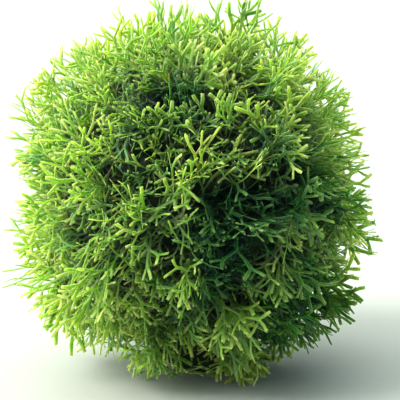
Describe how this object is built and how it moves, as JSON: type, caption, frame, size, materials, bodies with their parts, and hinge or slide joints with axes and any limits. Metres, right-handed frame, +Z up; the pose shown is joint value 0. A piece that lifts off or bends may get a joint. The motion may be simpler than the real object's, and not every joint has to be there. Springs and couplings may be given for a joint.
{
  "type": "riccia topiary ball",
  "caption": "Ball of tangled aquatic liverwort with small forked green fronds standing out all round, resting on a small flat spot.",
  "frame": {"origin": "centre of the flat spot that the ball rests on", "axes": "+Z up from the rest spot, -Y towards the side that the picture shows, +X to its right"},
  "size_m": [0.0847, 0.0873, 0.0845],
  "materials": {
    "young_growth": "wet, soft gloss, slightly see-through, blunt pale tips",
    "tangled_growth": "wet, dark green to brown old stems"
  },
  "bodies": {
    "root": {"sprig_01": "young_growth", "sprig_02": "young_growth", "sprig_03": "young_growth", "sprig_04": "young_growth", "sprig_05": "young_growth", "sprig_06": "young_growth", "sprig_07": "young_growth", "sprig_08": "young_growth", "sprig_09": "young_growth", "sprig_10": "young_growth", "sprig_11": "young_growth", "sprig_12": "young_growth", "sprig_13": "young_growth", "sprig_14": "young_growth", "sprig_15": "young_growth", "sprig_16": "young_growth", "sprig_17": "young_growth", "sprig_18": "young_growth", "sprig_19": "young_growth", "sprig_20": "young_growth", "sprig_21": "young_growth", "sprig_22": "young_growth", "sprig_23": "young_growth", "sprig_24": "young_growth", "sprig_25": "young_growth", "sprig_26": "young_growth", "sprig_27": "young_growth", "sprig_28": "young_growth", "sprig_29": "young_growth", "sprig_30": "young_growth", "sprig_31": "young_growth", "sprig_32": "young_growth", "sprig_33": "young_growth", "sprig_34": "young_growth", "sprig_35": "young_growth", "sprig_36": "young_growth", "sprig_37": "young_growth", "sprig_38": "young_growth", "sprig_39": "young_growth", "sprig_40": "young_growth", "sprig_41": "young_growth", "sprig_42": "young_growth", "sprig_43": "young_growth", "sprig_44": "young_growth", "sprig_45": "young_growth", "sprig_46": "young_growth", "sprig_47": "young_growth", "sprig_48": "young_growth", "sprig_49": "young_growth", "sprig_50": "young_growth", "sprig_51": "young_growth", "sprig_52": "young_growth", "sprig_53": "young_growth", "sprig_54": "young_growth", "sprig_55": "young_growth", "sprig_56": "young_growth", "tangle": "tangled_growth"}
  },
  "joints": []
}
